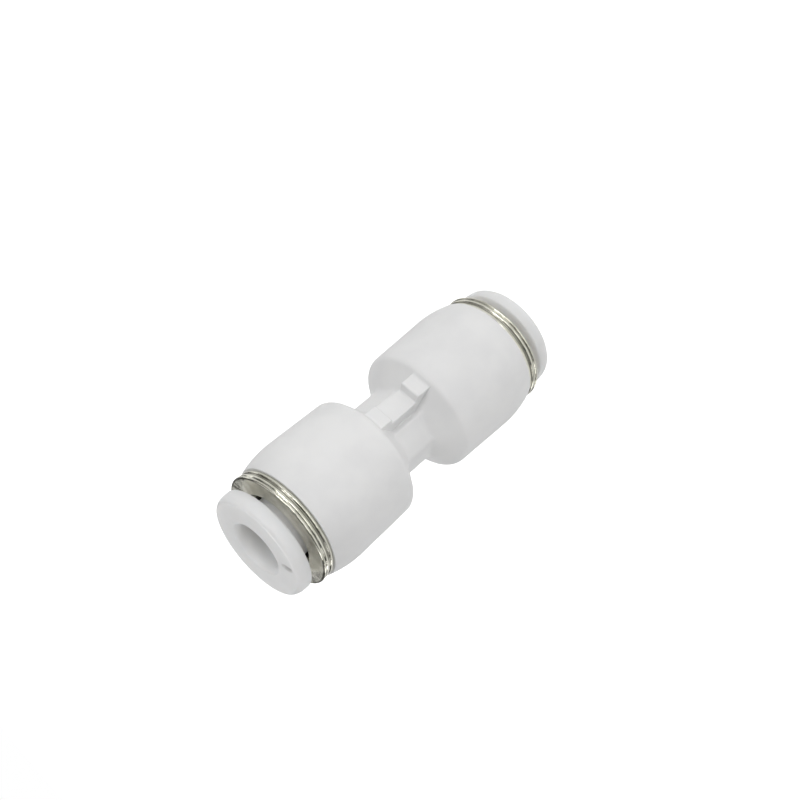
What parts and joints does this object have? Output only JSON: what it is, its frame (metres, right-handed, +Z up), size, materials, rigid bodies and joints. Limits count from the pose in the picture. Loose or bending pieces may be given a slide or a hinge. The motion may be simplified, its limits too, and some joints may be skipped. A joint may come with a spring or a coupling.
{
  "type": "straight push-in tube union",
  "caption": "Straight push-in union that joins plastic tube end to end: white moulded body with a ribbed waist, metal collars and release buttons.",
  "frame": {"origin": "middle of the lower release button's outer face, on which the fitting stands", "axes": "+Z up along the tube axis, -Y towards the rib that the picture shows"},
  "size_m": [0.0104, 0.0104, 0.0279],
  "materials": {
    "white_moulding": "satin moulded, faintly mottled",
    "nickel_collar": "bright nickel plate, turned beads",
    "button_moulding": "satin moulded",
    "collet_moulding": "matt moulded",
    "spring_steel": "bright rolled strip",
    "seal_rubber": "matt moulded rubber"
  },
  "bodies": {
    "root": {"body": "white_moulding", "guide_upper": "nickel_collar", "guide_lower": "nickel_collar", "seal_upper": "seal_rubber", "seal_lower": "seal_rubber"},
    "collet_upper": {"collet_upper": "collet_moulding"},
    "claw_ring_upper": {"claw_ring_upper": "spring_steel"},
    "release_button_upper": {"release_button_upper": "button_moulding"},
    "collet_lower": {"collet_lower": "collet_moulding"},
    "claw_ring_lower": {"claw_ring_lower": "spring_steel"},
    "release_button_lower": {"release_button_lower": "button_moulding"}
  },
  "joints": [
    {"name": "collet_upper_wedge", "type": "slide", "parent": "root", "child": "collet_upper", "axis": [0, 0, 1], "range_m": [0, 0.00025]},
    {"name": "claw_ring_upper_turn", "type": "hinge", "parent": "collet_upper", "child": "claw_ring_upper", "pos_m": [0, 0, 0.02149], "axis": [0, 0, 1], "continuous": true},
    {"name": "release_button_upper_press", "type": "slide", "parent": "claw_ring_upper", "child": "release_button_upper", "axis": [0, 0, -1], "range_m": [0, 0.0008], "stiffness_N_per_m": 200, "springref_m": -0.0005},
    {"name": "collet_lower_wedge", "type": "slide", "parent": "root", "child": "collet_lower", "axis": [0, 0, -1], "range_m": [0, 0.00025]},
    {"name": "claw_ring_lower_turn", "type": "hinge", "parent": "collet_lower", "child": "claw_ring_lower", "pos_m": [0, 0, 0.0064], "axis": [0, 0, 1], "continuous": true},
    {"name": "release_button_lower_press", "type": "slide", "parent": "claw_ring_lower", "child": "release_button_lower", "axis": [0, 0, 1], "range_m": [0, 0.0008], "stiffness_N_per_m": 200, "springref_m": -0.0005}
  ]
}
